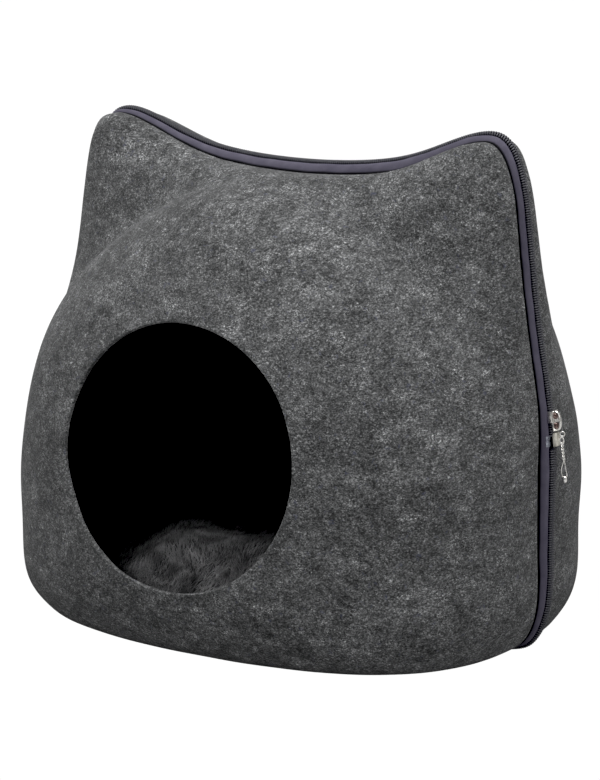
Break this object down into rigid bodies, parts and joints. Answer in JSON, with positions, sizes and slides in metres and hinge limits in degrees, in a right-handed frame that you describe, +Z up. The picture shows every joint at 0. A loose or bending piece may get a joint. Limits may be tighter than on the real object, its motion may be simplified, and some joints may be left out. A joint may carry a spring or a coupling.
{
  "type": "felt cat cave",
  "caption": "Free-standing felt cat cave shaped as a cat's head, two moulded cups zipped together, round doorway, loose plush cushion inside.",
  "frame": {"origin": "on the surface that the cave stands on, under the back cup's flat base, midway between its front and back", "axes": "+X to the side with the zip's slider, +Y to the back, -Y where the doorway faces, +Z up"},
  "size_m": [0.3996, 0.3627, 0.3481],
  "materials": {
    "felt": "thick needled felt, mottled dark grey",
    "tape": "fine woven tape, purplish grey",
    "coil": "black moulded coil",
    "metal": "bright plated",
    "plush": "short dark plush"
  },
  "bodies": {
    "root": {"front_shell": "felt", "back_shell": "felt", "front_tape": "tape", "back_tape": "tape", "zip_coil": "coil", "coil_tail": "coil", "end_box": "metal", "zip_slider": "metal", "pull_link": "metal", "zip_pull": "metal", "cushion": "plush"}
  },
  "joints": []
}
